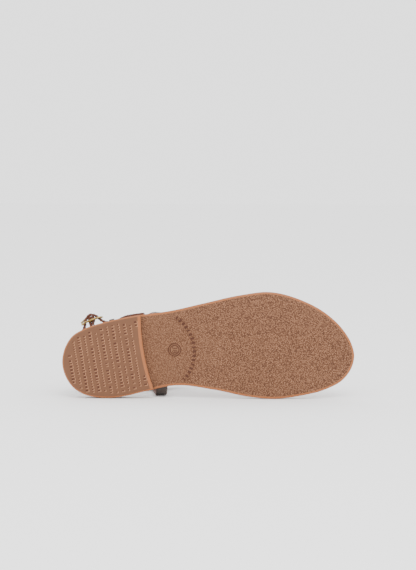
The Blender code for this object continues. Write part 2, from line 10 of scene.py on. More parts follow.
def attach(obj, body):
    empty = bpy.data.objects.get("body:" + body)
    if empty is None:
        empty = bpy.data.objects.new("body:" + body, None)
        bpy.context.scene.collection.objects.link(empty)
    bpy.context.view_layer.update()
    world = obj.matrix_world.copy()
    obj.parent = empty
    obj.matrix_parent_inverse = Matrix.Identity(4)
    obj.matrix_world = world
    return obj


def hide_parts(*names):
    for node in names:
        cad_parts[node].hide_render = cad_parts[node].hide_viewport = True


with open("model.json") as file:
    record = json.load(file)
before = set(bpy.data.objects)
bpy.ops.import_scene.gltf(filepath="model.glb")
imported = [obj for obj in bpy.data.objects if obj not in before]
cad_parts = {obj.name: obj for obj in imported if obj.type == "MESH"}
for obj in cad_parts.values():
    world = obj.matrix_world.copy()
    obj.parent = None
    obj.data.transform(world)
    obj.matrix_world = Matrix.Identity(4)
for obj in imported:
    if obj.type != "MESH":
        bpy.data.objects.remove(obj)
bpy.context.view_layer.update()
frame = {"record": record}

# The last and the sole, in metres
SHOE_LENGTH = 0.250
BALL_WIDTH = 0.0911
WAIST_WIDTH = 0.0650
HEEL_WIDTH = 0.0640
OUTSOLE_THICKNESS = 0.0042
HEEL_HEIGHT = 0.0060
TOE_SPRING = 0.0050
HEEL_LENGTH_LATERAL = 0.0670
HEEL_LENGTH_MEDIAL = 0.0785
WAIST_LENGTH = 0.0450
SPRING_LENGTH = 0.0450
EDGE_BEVEL = 0.0026
EDGE_DROP = 0.0008
BEVEL_FLAT = 0.0010
SEAM_ROUND = 0.0004
INSOLE_THICKNESS = 0.0030
INSOLE_INSET = 0.0013
# Middle of the forefoot's ground face, along the shoe and across it
FACE_ALONG = 0.1650
FACE_SIDE = -0.0060

# Straps
STRAP_WIDTH = 0.0098
STRAP_THICKNESS = 0.0018
STRAP_ROUND = 0.0004
SKIVED_THICKNESS = 0.0010
CLEARANCE = 0.0003
LOOP_PLAY = 0.0012
LAP_LENGTH = 0.0050
POST_WIDTH = 0.0046
POST_THICKNESS = 0.0032
POST_ALONG = 0.2000
POST_SIDE = 0.0085
INSTEP_HEIGHT = 0.0730
POST_KNEE = 0.0060
ANCHOR_LENGTH = 0.0140
MEDIAL_TAB_ALONG = 0.0850
LATERAL_TAB_ALONG = 0.0840
MEDIAL_TAB_BULGE = 0.0062
LATERAL_TAB_BULGE = 0.0005

# Ankle strap as a loop round the heel and the ankle
LOOP_BACK = 0.0090
LOOP_LENGTH = 0.0990
LOOP_WIDTH = 0.0618
LOOP_HEIGHT = 0.0500
LOOP_RISE = 0.0340
FRONT_LEAN = radians(32)

# Buckle and keeper
ROD_RADIUS = 0.00085
BAR_RADIUS = ROD_RADIUS * 0.98
PRONG_RADIUS = 0.00070
BUCKLE_LENGTH = 0.0185
BUCKLE_PLAY = 0.0008
BUCKLE_CORNER = 0.0035
BUCKLE_BOW = 0.0014
BUCKLE_TURN = radians(-21)
KEEPER_WIDTH = 0.0044
KEEPER_THICKNESS = 0.0010
KEEPER_PLAY = 0.0008
KEEPER_CORNER = 0.0012
TAIL_PLAY = 0.0007

# How many times its own distance from a rod the strap keeps where it crosses a rod on a slant,
# and how many times its layers the free strap rises over the fold at the bar
SLANT = 2.0
FOLD_EASE = 1.06

# Smallest share of its width that the strap's round tip keeps
TIP_SHARE = 0.35

# Outline of the outsole: share of the length, share of the named width, medial positive
OUTLINE = (
    (0.000, 0.120, "heel"),
    (0.013, 0.320, "heel"),
    (0.040, 0.465, "heel"),
    (0.080, 0.555, "heel"),
    (0.140, 0.592, "heel"),
    (0.200, 0.580, "heel"),
    (0.282, 0.509, "heel"),
    (0.395, 0.423, "waist"),
    (0.520, 0.342, "ball"),
    (0.640, 0.408, "ball"),
    (0.715, 0.427, "ball"),
    (0.818, 0.396, "ball"),
    (0.900, 0.339, "ball"),
    (0.962, 0.245, "ball"),
    (0.990, 0.140, "ball"),
    (1.000, 0.029, "ball"),
    (0.990, -0.090, "ball"),
    (0.962, -0.217, "ball"),
    (0.900, -0.378, "ball"),
    (0.818, -0.499, "ball"),
    (0.710, -0.575, "ball"),
    (0.612, -0.547, "ball"),
    (0.488, -0.472, "ball"),
    (0.364, -0.554, "waist"),
    (0.241, -0.497, "heel"),
    (0.138, -0.409, "heel"),
    (0.076, -0.328, "heel"),
    (0.034, -0.228, "heel"),
    (0.010, -0.080, "heel"),
)
WIDTHS = {"heel": HEEL_WIDTH, "waist": WAIST_WIDTH, "ball": BALL_WIDTH}

# Ankle loop: place, shares of its length, width and rise, lateral negative
LOOP = (
    ("keeper", 0.320, -0.373, 0.02),
    ("tail middle", 0.448, -0.452, 0.07),
    ("tail end", 0.600, -0.489, 0.185),
    ("lateral tab", 0.687, -0.470, 0.29),
    ("lateral front", 0.798, -0.440, 0.485),
    ("lateral turn", 0.899, -0.348, 0.735),
    ("lateral instep", 0.975, -0.146, 0.94),
    ("front", 1.000, 0.049, 1.00),
    ("medial instep", 0.970, 0.235, 0.926),
    ("medial turn", 0.889, 0.398, 0.72),
    ("medial front", 0.798, 0.462, 0.50),
    ("medial tab", 0.697, 0.481, 0.309),
    ("medial ankle", 0.535, 0.476, 0.13),
    ("medial heel", 0.354, 0.448, 0.03),
    ("medial back", 0.182, 0.364, 0.0),
    ("medial corner", 0.061, 0.227, 0.0),
    ("back", 0.005, 0.032, 0.0),
    ("lateral corner", 0.013, -0.162, 0.0),
)
BUCKLE_PLACE = (0.132, -0.455, 0.0)

# The strap's doubled end at the buckle's bar: along the buckle and out from the foot, both in
# shares of the distance from the bar's middle to the strap's. First its free end up to the bar,
# then on from the bar, inwards and forward to the keeper.
LAP = (
    (-0.24, -2.55),
    (0.05, -1.70),
    (0.70, -0.95),
)
RETURN = (
    (-1.05, -1.30),
    (-1.20, -2.60),
    (-0.80, -3.80),
    (0.60, -4.55),
    (3.40, -4.40),
)
# Where the folded end and the strap that comes back over it pass round the bar, in degrees from
# the way the buckle points
FOLD_TURNS = (10, 50, 90, 135, 180)
ENTRY_TURNS = (140, 90, 40)

# Bar of the T-strap: share of the length, of the post's side and of the instep height
T_BAR = (
    (0.799, 1.00, 0.20),
    (0.787, 0.97, 0.30),
    (0.757, 0.92, 0.42),
    (0.705, 0.83, 0.545),
    (0.640, 0.71, 0.665),
    (0.576, 0.60, 0.775),
    (0.522, 0.50, 0.885),
    (0.478, 0.42, 1.00),
)
# Side tab: share of the way up from the sole's edge, share of the bulge
TAB_SIDE = (
    (0.040, 0.30),
    (0.100, 0.75),
    (0.190, 1.00),
    (0.390, 0.82),
    (0.590, 0.56),
    (0.790, 0.28),
)

# A strap's foot under the insole, from its end to the sole's edge: share of the anchor's length
ANCHOR = (1.0, 0.5, 0.25)
# A strap folded over the ankle strap: share of the fold's distance from the ankle strap's middle,
# share of the ankle strap's half width, share of the fold's height over the ankle strap's edge, and
# share of the lap's length
FOLD = (
    (1.00, -1.0, 0.00, 0.0),
    (1.00, 0.4, 0.00, 0.0),
    (0.78, 1.0, 0.45, 0.0),
    (0.00, 1.0, 1.00, 0.0),
    (-0.78, 1.0, 0.45, 0.0),
    (-1.00, 0.4, 0.00, 0.0),
    (-1.00, -1.0, 0.00, 0.0),
    (-0.20, -1.0, 0.00, -1.0),
)
# Widening of the T-strap above its post: share of the way from the post's width to the strap's
WIDENING = (0.0, 0.0, 0.0, 0.3, 0.6, 0.85)
# The prong from its eye to the frame's back rod: share of the eye's radius or of the buckle's half
# length back from the bar, and share of the eye's radius out from it
PRONG_ROOT = (-0.55, 0.85)
PRONG_BEND = (-0.45, 1.25)

# The footbed's rolled upper edge: inset from its side, and depth under its top
FOOTBED_RIM = ((0.0, 0.0009), (0.0002, 0.0004), (0.0006, 0.0001), (0.0011, 0.0), (0.0020, 0.0))
# Steps of a sole's rounded lip and of a strap's rounded edge, from the face to the side, in degrees
LIP_TURNS = (90, 72, 54, 36, 18, 0)
EDGE_TURNS = (90, 60, 30, 0)
# How many times its rounding the colour of a strap's edge reaches over the face
EDGE_REACH = 3

# Moulded dashes on the heel: slanted rows of wide and narrow dashes in turn
MARK_SEED = 5
MARK_ROWS = range(-2, 16)
MARK_START = 0.0005
MARK_HEIGHT = 0.00014
MARK_SLOPE = 0.00018
ROW_PITCH = 0.0051
ROW_LENGTH = HEEL_WIDTH * 1.2
ROW_TILT = radians(9.5)
# Width and greatest length of a dash in an even row and in an odd one
MARK_SIZES = ((0.0030, 0.0021), (0.0018, 0.0015))
MARK_SHORTEST = 0.0009
MARK_NARROWEST = 0.6
MARK_GAP = 0.0010
MARK_LONG_GAP = 0.0030
SHORT_GAP_SHARE = 0.85
MARK_BACK = 0.0060
MARK_MARGIN = EDGE_BEVEL + 0.0014
# The paler rim of a dash, a painted highlight: shift and growth along the row and across it, and height
RIM_SHIFT = (0.0003, 0.0004)
RIM_GROWTH = (0.0005, 0.0003)
RIM_HEIGHT = MARK_HEIGHT * 0.6

# Size stamp under the waist: its ground as depth under the sole and share of the radius, the two
# raised rings, and the number
STAMP = (0.0960, -0.0029)
STAMP_RADIUS = 0.0050
STAMP_GROUND = ((-0.0002, 1.20), (0.00006, 1.12), (0.00008, 0.5))
STAMP_RINGS = (1.06, 0.76)
RING_RADIUS = 0.00044
SIZE_NUMBER = "38"
NUMBER_SIZE = 0.0062
NUMBER_DEPTH = 0.00022
NUMBER_REACH = 0.0040
# Arc of dashes in front of the stamp: turns in degrees, and a shorter dash in every fourth place
ARC_CENTRE = (0.0775, -0.0010)
ARC_RADIUS = 0.0355
ARC_START = -55
ARC_STEP = 6
ARC_COUNT = 17
ARC_WIDTH = 0.0031
ARC_LENGTH = 0.0023
ARC_SHORT_LENGTH = 0.0015
ARC_SHORT_EVERY = 4
ARC_HEIGHT = 3 * MARK_HEIGHT

# Seams
SEAM_PITCH = 0.0027
SEAM_INSET = 0.0013
STITCH_LENGTH = SEAM_PITCH * 0.72
THREAD_RADIUS = 0.00020
BED_SEAM_PITCH = 0.0032
BED_SEAM_INSET = 0.0036
BED_STITCH_LENGTH = 0.0023
BED_THREAD_RADIUS = 0.00026
# A stitch from end to end: share of its length, share of its radius that its middle lies out of
# the face, and share of its radius
STITCH = (
    (-0.50, -0.90, 0.4),
    (-0.38, 0.10, 0.9),
    (0.00, 0.45, 1.0),
    (0.38, 0.10, 0.9),
    (0.50, -0.90, 0.4),
)

# Moulded grain: pebbles to the metre, and how far their outlines wander
PEBBLE_SCALE = 1080
PEBBLE_WARP = 0.0010

# Camera, floor and light
VIEW_ALONG = 0.1246
VIEW_SIDE = -0.0584
VIEW_DISTANCE = 1.6
VIEW_HEIGHT = 0.4868
SENSOR_HEIGHT = 24.0
FLOOR_REACH = 6.0
WORLD_STRENGTH = 2.2
KEY_PLACE = (0.3, -1.5, 1.5)
KEY_AIM = (0.0, 0.0, 0.05)
KEY_SIZE = 1.0
KEY_POWER = 22.0

# Steps of curves and of round sections
OUTLINE_STEPS = 12
STRAP_STEPS = 8
BEND_STEPS = 60
CORNER_STEPS = 8
HEEL_STEPS = 150
BREAST_STEPS = 50
EYE_STEPS = 30
STAMP_STEPS = 60
NUMBER_STEPS = 4
ROD_SIDES = 14
RING_SIDES = 8
THREAD_SIDES = 6
# Samples at both ends of a strap that carry no stitches
ANKLE_BARE = (30, 10)
TAB_BARE = (4 * STRAP_STEPS, 5)
T_STRAP_BARE = (5 * STRAP_STEPS, 5)
# Smallest share that a corner's mitre keeps, distance at which two points count as one, reach of a
# slope, share of upright from which a rod counts as upright, and the gap that the breast leaves
MITRE = 0.5
WELD = 1e-9
SLOPE_REACH = 0.001
STEEP = 0.9
BREAST_GAP = HEEL_WIDTH / 3
SMOOTH_ANGLE = radians(40)
UP = Vector((0, 0, 1))

# Numbers of the materials: of the sole, of the footbed and of a strap. LIP is the inner part of the
# heel's rounded lip, which is border at the breast and face elsewhere. The border is coloured
# lighter as a painted highlight along the rounded lip.
FACE, BORDER, WALL, LIP = range(4)
BED_TOP, BED_SIDE = range(2)
OUTER, EDGE, LINING = range(3)


def smooth_curve(points, steps, closed=False):
    """Samples of a curve that goes through all the points, with so many steps between two."""
    count = len(points)
    spans = count if closed else count - 1
    lengths = [(points[(i + 1) % count] - points[i]).length for i in range(spans)]
    chords = [(points[(i + 1) % count] - points[i]) / lengths[i] for i in range(spans)]

    def slope(i):
        if not closed and i in (0, count - 1):
            return chords[0] if i == 0 else chords[-1]
        before = lengths[i - 1]
        after = lengths[i]
        return (chords[i - 1] * after + chords[i] * before) / (before + after)

    samples = []
    for i in range(spans):
        start = points[i]
        end = points[(i + 1) % count]
        leave = slope(i) * lengths[i]
        arrive = slope((i + 1) % count) * lengths[i]
        for k in range(steps):
            t = k / steps
            samples.append(
                start * (2 * t**3 - 3 * t**2 + 1)
                + leave * (t**3 - 2 * t**2 + t)
                + end * (3 * t**2 - 2 * t**3)
                + arrive * (t**3 - t**2)
            )
    if not closed:
        samples.append(points[-1].copy())
    return samples


def spread(values, steps):
    """Values given at a curve's points, read at each of its samples."""
    read = []
    for first, second in zip(values, values[1:]):
        read += [first + (second - first) * k / steps for k in range(steps)]
    return read + [values[-1]]


def each(value, count):
    """A value for each of so many points: one value repeated, or a list as it is."""
    return value if isinstance(value, list) else [value] * count


def inset_ring(ring, insets):
    """A closed flat outline moved inwards by its own amount at each point."""
    moved = []
    for i, point in enumerate(ring):
        before = (point - ring[i - 1]).normalized()
        after = (ring[(i + 1) % len(ring)] - point).normalized()
        inward = Vector((before.y + after.y, -before.x - after.x)).normalized()
        mitre = max(inward.dot(Vector((after.y, -after.x))), MITRE)
        moved.append(point + inward * insets[i] / mitre)
    return moved


def breast_line(side):
    """How far from the back of the heel its curved front lies, at a place across the shoe."""
    share = (side + HEEL_WIDTH / 2) / HEEL_WIDTH
    return HEEL_LENGTH_LATERAL + (HEEL_LENGTH_MEDIAL - HEEL_LENGTH_LATERAL) * share**2


def lift(along):
    """Height of the outsole's underside above the ground, at a place along the shoe."""
    waist_back = HEEL_LENGTH_MEDIAL + EDGE_DROP
    spring_start = SHOE_LENGTH - SPRING_LENGTH
    if along > spring_start:
        return TOE_SPRING * ((along - spring_start) / SPRING_LENGTH) ** 2
    share = (waist_back + WAIST_LENGTH - along) / WAIST_LENGTH
    share = min(max(share, 0.0), 1.0)
    return HEEL_HEIGHT * share * share * (3 - 2 * share)


def climb(along, reach=SLOPE_REACH):
    """How steeply the outsole's underside rises, measured over a short way to both sides."""
    return (lift(along + reach) - lift(along - reach)) / (2 * reach)


def sole_top(along):
    """Height of the outsole's upper side."""
    return lift(along) + OUTSOLE_THICKNESS


def full_turn(count):
    """So many even turns round a circle."""
    return [2 * pi * k / count for k in range(count)]


def quarter_round(turns):
    """How far a round corner stays in from the side and from the face at each turn, as shares."""
    angles = [radians(turn) for turn in turns]
    return [(1 - cos(angle), 1 - sin(angle)) for angle in angles]


def outline_ring():
    """The outsole's outline."""
    points = [Vector((along * SHOE_LENGTH, side * WIDTHS[follows])) for along, side, follows in OUTLINE]
    return smooth_curve(points, OUTLINE_STEPS, closed=True)


def edge_side(ring, along, side):
    """How far across the shoe its edge lies, medial (1) or lateral (-1), at a place along it."""
    for i, point in enumerate(ring):
        before = ring[i - 1]
        if point.y * side > 0 and (before.x - along) * (point.x - along) <= 0 and before.x != point.x:
            share = (along - before.x) / (point.x - before.x)
            return before.y + (point.y - before.y) * share
    return 0.0


def loop_point(along, side, rise):
    """A place on the ankle loop."""
    return Vector((LOOP_BACK + along * LOOP_LENGTH, side * LOOP_WIDTH, LOOP_HEIGHT + rise * LOOP_RISE))


def loop_across(point):
    """The way the ankle strap's width points: upright at the back, leaning back at the instep."""
    middle = LOOP_BACK + LOOP_LENGTH / 2
    share = min(max((point.x - LOOP_BACK) / LOOP_LENGTH, 0.0), 1.0)
    lean = FRONT_LEAN * share**2
    inward = Vector((middle - point.x, -point.y, 0)).normalized()
    return UP * cos(lean) + inward * sin(lean)


class Buckle:
    """The buckle's own frame: along the strap, out from the foot, and across the strap."""

    def __init__(self):
        self.centre = loop_point(*BUCKLE_PLACE)
        self.along = Vector((cos(BUCKLE_TURN), sin(BUCKLE_TURN), 0))
        self.out = self.along.cross(UP)
        self.half = BUCKLE_LENGTH / 2

    def point(self, along, out, across=0.0):
        """A place given in the buckle's frame."""
        return self.centre + self.along * along + self.out * out + UP * across

    def round_bar(self, radius, turn):
        """A place on a circle round the bar."""
        return self.point(radius * cos(turn), radius * sin(turn))


def ankle_path(buckle):
    """The ankle strap's centre line, and where each named place of its loop lies on it."""
    layer = STRAP_THICKNESS + CLEARANCE
    wrap = ROD_RADIUS + CLEARANCE + STRAP_THICKNESS / 2
    under_rod = -BUCKLE_BOW - SLANT * wrap
    half = buckle.half
    fold = [buckle.point(along * wrap, out * wrap) for along, out in LAP]
    fold += [buckle.round_bar(wrap, radians(turn)) for turn in FOLD_TURNS]
    fold += [buckle.point(along * wrap, out * wrap) for along, out in RETURN]
    loop = [loop_point(*shares) for _, *shares in LOOP]
    entry = [buckle.point(-half, under_rod)]
    eased = wrap + layer * FOLD_EASE
    entry += [buckle.round_bar(eased, radians(turn)) for turn in ENTRY_TURNS]
    entry.append(buckle.point(half, under_rod))
    names = [name for name, *_ in LOOP]
    tail = []
    for name in ("keeper", "tail middle", "tail end"):
        i = names.index(name)
        before = loop[i - 1] if i else fold[-1]
        out = (loop[i + 1] - before).cross(UP).normalized()
        tail.append(loop[i] + out * (STRAP_THICKNESS + TAIL_PLAY))
    tip_start = tail[-1].lerp(tail[-2], STRAP_WIDTH / 2 / (tail[-1] - tail[-2]).length)
    points = fold + loop + entry + tail[:-1] + [tip_start, tail[-1]]
    places = {name: (len(fold) + i) * STRAP_STEPS for i, name in enumerate(names)}
    return smooth_curve(points, STRAP_STEPS), places


def fold_over(frame_at):
    """Points of a strap that comes up outside the ankle strap and folds over it to the inside."""
    centre, _, wide, out = frame_at
    outward = STRAP_THICKNESS + LOOP_PLAY
    if out.dot(Vector((centre.x - LOOP_BACK - LOOP_LENGTH / 2, centre.y, 0))) < 0:
        out = -out
    edge = STRAP_WIDTH / 2
    over = LOOP_PLAY + STRAP_THICKNESS / 2
    return [
        centre + out * outward * away + wide * (edge * half + over * rise + LAP_LENGTH * lap)
        for away, half, rise, lap in FOLD
    ]


def tab_shape(ring, along, side, bulge, frame_at):
    """Control points of a side tab from under the insole up to the ankle strap and over it."""
    low = sole_top(along) + CLEARANCE + SKIVED_THICKNESS / 2
    edge = edge_side(ring, along, side) - side * INSOLE_INSET
    foot = [Vector((along, edge - side * ANCHOR_LENGTH * share, low)) for share in ANCHOR]
    fold = fold_over(frame_at)
    start = Vector((along, edge, low))
    rise = [
        start.lerp(fold[0], up) + Vector((0, side * bulge * out, 0)) for up, out in TAB_SIDE
    ]
    return foot + rise + fold


def rounded_rectangle(half_first, half_second, radius):
    """Points round a rectangle with round corners."""
    points = []
    for corner, (first, second) in enumerate(((1, 1), (-1, 1), (-1, -1), (1, -1))):
        for k in range(CORNER_STEPS + 1):
            turn = pi / 2 * (corner + k / CORNER_STEPS)
            a = first * (half_first - radius) + radius * cos(turn)
            b = second * (half_second - radius) + radius * sin(turn)
            points.append((a, b))
    return points


# The shoe's own axes in the resting pose: x from heel to toe, y to the inner side, z up from the
# ground face. They follow from the record's ground face.
MOUNT = [mount for mount in frame["record"]["mounts"] if mount["name"] == "forefoot_ground_face"][0]
SHOE_Z = -Vector(MOUNT["axis"]).normalized()
SHOE_X = Vector((-SHOE_Z.z, 0.0, SHOE_Z.x)).normalized()
SHOE_Y = SHOE_Z.cross(SHOE_X)
ORIGIN = Vector(MOUNT["pos_m"]) - FACE_ALONG * SHOE_X - FACE_SIDE * SHOE_Y
SHOE = Matrix((SHOE_X, SHOE_Y, SHOE_Z)).transposed().to_4x4()
SHOE.translation = ORIGIN


def add_object(name, data):
    """A new object in the scene."""
    made = bpy.data.objects.new(name, data)
    bpy.context.scene.collection.objects.link(made)
    return made


def add_piece(name, mesh, materials, nodes=()):
    """Turns a mesh built in the shoe's frame into a piece of the scene that rides on the shoe."""
    bmesh.ops.recalc_face_normals(mesh, faces=mesh.faces)
    bmesh.ops.transform(mesh, matrix=SHOE, verts=mesh.verts)
    data = bpy.data.meshes.new(name)
    mesh.to_mesh(data)
    mesh.free()
    data.shade_smooth()
    data.set_sharp_from_angle(angle=SMOOTH_ANGLE)
    for material in materials:
        data.materials.append(material)
    made = add_object(name, data)
    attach(made, "root")
    if nodes:
        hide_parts(*nodes)
    return made


def add_ring(mesh, points):
    """A row of corners."""
    return [mesh.verts.new(point) for point in points]


def add_circle(mesh, middle, first, second, radius, sides):
    """A round row of corners in the plane of two directions."""
    turns = full_turn(sides)
    return add_ring(mesh, [middle + (first * cos(t) + second * sin(t)) * radius for t in turns])


def bridge(mesh, first, second, kinds=0):
    """Faces between two rows of corners that run round."""
    for i, kind in enumerate(each(kinds, len(first))):
        k = (i + 1) % len(first)
        face = mesh.faces.new((first[i], first[k], second[k], second[i]))
        face.material_index = kind


def loft(mesh, rings, closed=False, kinds=0):
    """Faces from each row of corners to the next one, and back to the first one if closed."""
    for first, second in zip(rings, rings[1:] + rings[:1] if closed else rings[1:]):
        bridge(mesh, first, second, kinds)


def slab(levels, bent, kinds):
    """A slab lofted through outlines, bottom one first, and bent to the last's bottom.

    kinds holds the material of the bottom, of each band between two outlines, and of the top."""
    mesh = bmesh.new()
    rings = [add_ring(mesh, [(p.x, p.y, z) for p, z in level]) for level in levels]
    for lower, upper, kind in zip(rings, rings[1:], kinds[1:]):
        bridge(mesh, lower, upper, kind)
    mesh.faces.new(reversed(rings[0])).material_index = kinds[0]
    mesh.faces.new(rings[-1]).material_index = kinds[-1]
    if bent:
        for i in range(1, BEND_STEPS):
            whole = mesh.verts[:] + mesh.edges[:] + mesh.faces[:]
            place = (SHOE_LENGTH * i / BEND_STEPS, 0, 0)
            bmesh.ops.bisect_plane(mesh, geom=whole, plane_co=place, plane_no=(1, 0, 0))
    bmesh.ops.triangulate(mesh, faces=mesh.faces)
    if bent:
        for vertex in mesh.verts:
            vertex.co.z += lift(vertex.co.x)
    return mesh


def level(ring, inset, height):
    """One outline of a slab at one inset and height."""
    return list(zip(inset_ring(ring, each(inset, len(ring))), each(height, len(ring))))


# Outsole, heel and insole
def make_outsole(ring, materials):
    """The sole sheet: pebbled underneath, with a smooth border lighter as painted highlight, and side
    wall.
    """
    free = [point.x > breast_line(point.y) for point in ring]
    widths = [EDGE_BEVEL if open_edge else SEAM_ROUND for open_edge in free]
    drops = [EDGE_DROP if open_edge else SEAM_ROUND for open_edge in free]
    rows = [level(ring, [width + BEVEL_FLAT for width in widths], 0.0)]
    for inward, up in quarter_round(LIP_TURNS):
        rows.append(level(ring, [width * inward for width in widths], [drop * up for drop in drops]))
    rows.append(level(ring, 0.0, OUTSOLE_THICKNESS - SEAM_ROUND))
    rows.append(level(ring, SEAM_ROUND, OUTSOLE_THICKNESS))
    mesh = slab(rows, True, [FACE] * 3 + [BORDER] * 4 + [WALL] * 3)
    add_piece("outsole_sheet", mesh, materials, ("outsole",))


def even_points(points, count):
    """The same open line with so many points at even steps."""
    reach = [0.0]
    for before, after in zip(points, points[1:]):
        reach.append(reach[-1] + (after - before).length)
    found = []
    k = 0
    for i in range(count):
        wanted = reach[-1] * i / (count - 1)
        while k < len(points) - 2 and reach[k + 1] < wanted:
            k += 1
        found.append(points[k].lerp(points[k + 1], (wanted - reach[k]) / (reach[k + 1] - reach[k])))
    return found


def heel_outline(ring, inset):
    """The heel's outline moved inwards: round the back, then across the breast."""
    moved = inset_ring(ring, each(inset, len(ring)))
    past = [point.x - breast_line(point.y) + inset for point in moved]
    count = len(moved)
    start = [i for i in range(count) if past[i - 1] < 0 <= past[i]][0]
    line = []
    for step in range(count + 1):
        i = (start + step) % count
        if past[i] * past[i - 1] < 0:
            line.append(moved[i - 1].lerp(moved[i], past[i - 1] / (past[i - 1] - past[i])))
        if past[i] < 0:
            line.append(moved[i])
    line = line[1:] if (line[0] - line[-1]).length < WELD else line
    turn = [i for i in range(len(line)) if (line[i] - line[i - 1]).length > BREAST_GAP]
    line = line[turn[0]:] + line[:turn[0]] if turn else line
    back = even_points(line, HEEL_STEPS)
    span = back[0].y - back[-1].y
    sides = [back[-1].y + span * i / BREAST_STEPS for i in range(1, BREAST_STEPS)]
    return back + [Vector((breast_line(side) - inset, side)) for side in sides]


def make_heel(ring, materials):
    """The heel block, with a border of painted highlight that is broader at the breast."""
    top = HEEL_HEIGHT - CLEARANCE
    rows = [[(point, 0.0) for point in heel_outline(ring, EDGE_BEVEL + BEVEL_FLAT)]]
    for inward, up in quarter_round(LIP_TURNS):
        rows.append([(point, EDGE_DROP * up) for point in heel_outline(ring, EDGE_BEVEL * inward)])
    rows.append([(point, top - SEAM_ROUND) for point in heel_outline(ring, 0.0)])
    rows.append([(point, top) for point in heel_outline(ring, SEAM_ROUND)])
    mesh = slab(rows, False, [FACE] * 2 + [LIP] * 2 + [BORDER] * 3 + [WALL] * 3)
    for face in mesh.faces:
        if face.material_index == LIP:
            middle = face.calc_center_median()
            at_breast = middle.x > breast_line(middle.y) - EDGE_BEVEL
            face.material_index = BORDER if at_breast else FACE
    add_piece("heel_block", mesh, materials, ("heel",))


def make_insole(ring, materials):
    """The footbed, darker at its side than on top."""
    bottom = OUTSOLE_THICKNESS + CLEARANCE
    top = bottom + INSOLE_THICKNESS
    rows = [
        level(ring, INSOLE_INSET + SEAM_ROUND, bottom),
        level(ring, INSOLE_INSET, bottom + SEAM_ROUND),
    ]
    rows += [level(ring, INSOLE_INSET + inset, top - depth) for inset, depth in FOOTBED_RIM]
    mesh = slab(rows, True, [BED_SIDE] * 4 + [BED_TOP] * 4)
    add_piece("footbed", mesh, materials, ("insole",))


# Straps
def directions(points, closed):
    """The way a path runs at each of its points."""
    count = len(points)
    found = []
    for i in range(count):
        ahead = points[(i + 1) % count if closed else min(i + 1, count - 1)]
        behind = points[i - 1 if closed else max(i - 1, 0)]
        found.append((ahead - behind).normalized())
    return found


def strap(name, points, across, width, thickness, materials, closed=False, flip=False):
    """A strap with rounded edges along a path. flip swaps its outer face and its lining.

    Gives the piece, and the point and three directions of each sample."""
    mesh = bmesh.new()
    count = len(points)
    edge = quarter_round(EDGE_TURNS)
    across = each(across, count)
    widths = each(width, count)
    thicknesses = each(thickness, count)
    rings = []
    frames = []
    for i, (point, along) in enumerate(zip(points, directions(points, closed))):
        wide = (across[i] - along * along.dot(across[i])).normalized()
        out = along.cross(wide)
        frames.append((point, along, wide, out))
        half_out = thicknesses[i] / 2
        half_wide = widths[i] / 2
        corner = min(STRAP_ROUND, half_out / 2)
        section = [(half_out, half_wide - EDGE_REACH * corner)]
        section += [(half_out - corner * down, half_wide - corner * inward) for inward, down in edge]
        section += [(-a, b) for a, b in reversed(section)]
        section += [(a, -b) for a, b in reversed(section)]
        rings.append(add_ring(mesh, [point + out * a + wide * b for a, b in section]))
    front, back = (LINING, OUTER) if flip else (OUTER, LINING)
    kinds = [front] * 2 + [EDGE] * 5 + [back] * 5 + [EDGE] * 5 + [front] * 3
    loft(mesh, rings, closed, kinds)
    if not closed:
        mesh.faces.new(rings[0]).material_index = EDGE
        mesh.faces.new(rings[-1]).material_index = EDGE
    return add_piece(name + "_leather", mesh, materials, (name,)), frames


def tube(mesh, points, radius, closed=False, sides=ROD_SIDES):
    """A round rod along a path."""
    rings = []
    ways = directions(points, closed)
    side = ways[0].cross(UP if abs(ways[0].dot(UP)) < STEEP else Vector((1, 0, 0)))
    for point, along in zip(points, ways):
        side = (side - along * along.dot(side)).normalized()
        rings.append(add_circle(mesh, point, side, along.cross(side), radius, sides))
    loft(mesh, rings, closed)
    if not closed:
        mesh.faces.new(reversed(rings[0]))
        mesh.faces.new(rings[-1])


def prong(eye_mesh, shaft_mesh, buckle, grown):
    """The prong's eye round the bar and its shaft, or the same grown by a clearance."""
    eye = ROD_RADIUS + CLEARANCE + PRONG_RADIUS
    radius = PRONG_RADIUS + grown
    loop = [buckle.round_bar(eye, turn) for turn in full_turn(EYE_STEPS)]
    tube(eye_mesh, loop, radius, True)
    rest = -BUCKLE_BOW + ROD_RADIUS + CLEARANCE + PRONG_RADIUS
    points = [
        buckle.point(PRONG_ROOT[0] * eye, PRONG_ROOT[1] * eye),
        buckle.point(PRONG_BEND[0] * buckle.half, PRONG_BEND[1] * eye),
        buckle.point(-buckle.half, rest),
        buckle.point(-buckle.half - PRONG_RADIUS, rest - CLEARANCE / 2),
    ]
    tube(shaft_mesh, smooth_curve(points, STRAP_STEPS), radius)


def carve(piece, cutters):
    """Takes closed meshes out of a strap, and gives the cuts the material of its edges."""
    helpers = []
    for cutter in cutters:
        bmesh.ops.recalc_face_normals(cutter, faces=cutter.faces)
        bmesh.ops.transform(cutter, matrix=SHOE, verts=cutter.verts)
        for face in cutter.faces:
            face.material_index = EDGE
        data = bpy.data.meshes.new("slot")
        cutter.to_mesh(data)
        cutter.free()
        helper = add_object("slot", data)
        step = piece.modifiers.new("slot", "BOOLEAN")
        step.operation = "DIFFERENCE"
        step.solver = "EXACT"
        step.object = helper
        helpers.append(helper)
    graph = bpy.context.evaluated_depsgraph_get()
    carved = bpy.data.meshes.new_from_object(piece.evaluated_get(graph))
    piece.modifiers.clear()
    piece.data = carved
    carved.set_sharp_from_angle(angle=SMOOTH_ANGLE)
    for helper in helpers:
        bpy.data.objects.remove(helper, do_unlink=True)


